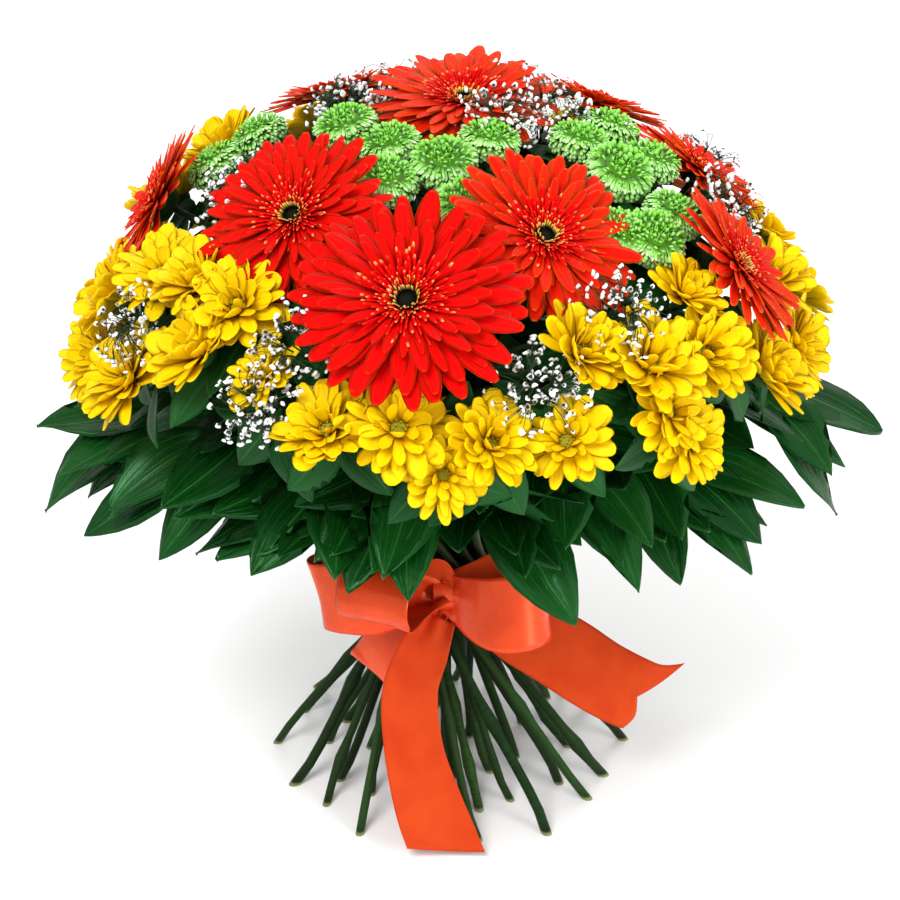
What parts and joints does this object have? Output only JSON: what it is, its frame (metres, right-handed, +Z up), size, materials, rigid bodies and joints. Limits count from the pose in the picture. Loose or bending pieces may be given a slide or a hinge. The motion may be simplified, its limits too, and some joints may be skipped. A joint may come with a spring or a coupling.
{
  "type": "mixed flower bouquet",
  "caption": "Round hand-tied bouquet of gerberas, spray and button chrysanthemums and gypsophila over leaves, standing on splayed stems under a satin ribbon bow.",
  "frame": {"origin": "under the middle of the bouquet's box, at the level of the cut stem ends that it stands on", "axes": "+Z up along the bouquet's axis; -Y is the front, where the bow is; +X to the right of a viewer there"},
  "size_m": [0.409, 0.3714, 0.3705],
  "materials": {
    "gerbera_petals": "soft matte red petals with a fine orange edge and a near-black eye",
    "gerbera_stem": "smooth fleshy green stem, pale at the cut",
    "chrysanthemum": "bright yellow petals round an olive disc, on green stems with green leaves",
    "button_chrysanthemum": "fresh green dense florets on green stems",
    "gypsophila": "small white flowers on thin green twigs",
    "ruscus_leaf": "dark green waxy leaves with fine parallel veins, on green stems",
    "satin_ribbon": "coral orange satin with a soft sheen"
  },
  "bodies": {
    "root": {"button_spray_1": "button_chrysanthemum", "button_spray_2": "button_chrysanthemum", "button_spray_3": "button_chrysanthemum", "button_spray_4": "button_chrysanthemum", "chrysanthemum_spray_1": "chrysanthemum", "chrysanthemum_spray_10": "chrysanthemum", "chrysanthemum_spray_2": "chrysanthemum", "chrysanthemum_spray_3": "chrysanthemum", "chrysanthemum_spray_4": "chrysanthemum", "chrysanthemum_spray_5": "chrysanthemum", "chrysanthemum_spray_6": "chrysanthemum", "chrysanthemum_spray_7": "chrysanthemum", "chrysanthemum_spray_8": "chrysanthemum", "chrysanthemum_spray_9": "chrysanthemum", "gerbera_10_bloom": "gerbera_petals", "gerbera_10_stem": "gerbera_stem", "gerbera_11_bloom": "gerbera_petals", "gerbera_11_stem": "gerbera_stem", "gerbera_1_bloom": "gerbera_petals", "gerbera_1_stem": "gerbera_stem", "gerbera_2_bloom": "gerbera_petals", "gerbera_2_stem": "gerbera_stem", "gerbera_3_bloom": "gerbera_petals", "gerbera_3_stem": "gerbera_stem", "gerbera_4_bloom": "gerbera_petals", "gerbera_4_stem": "gerbera_stem", "gerbera_5_bloom": "gerbera_petals", "gerbera_5_stem": "gerbera_stem", "gerbera_6_bloom": "gerbera_petals", "gerbera_6_stem": "gerbera_stem", "gerbera_7_bloom": "gerbera_petals", "gerbera_7_stem": "gerbera_stem", "gerbera_8_bloom": "gerbera_petals", "gerbera_8_stem": "gerbera_stem", "gerbera_9_bloom": "gerbera_petals", "gerbera_9_stem": "gerbera_stem", "gypsophila_spray_1": "gypsophila", "gypsophila_spray_2": "gypsophila", "gypsophila_spray_3": "gypsophila", "gypsophila_spray_4": "gypsophila", "gypsophila_spray_5": "gypsophila", "gypsophila_spray_6": "gypsophila", "ribbon_band": "satin_ribbon", "ribbon_bow": "satin_ribbon", "ribbon_tail_front": "satin_ribbon", "ribbon_tail_right": "satin_ribbon", "ruscus_stem_1": "ruscus_leaf", "ruscus_stem_10": "ruscus_leaf", "ruscus_stem_11": "ruscus_leaf", "ruscus_stem_12": "ruscus_leaf", "ruscus_stem_13": "ruscus_leaf", "ruscus_stem_14": "ruscus_leaf", "ruscus_stem_2": "ruscus_leaf", "ruscus_stem_3": "ruscus_leaf", "ruscus_stem_4": "ruscus_leaf", "ruscus_stem_5": "ruscus_leaf", "ruscus_stem_6": "ruscus_leaf", "ruscus_stem_7": "ruscus_leaf", "ruscus_stem_8": "ruscus_leaf", "ruscus_stem_9": "ruscus_leaf"}
  },
  "joints": []
}
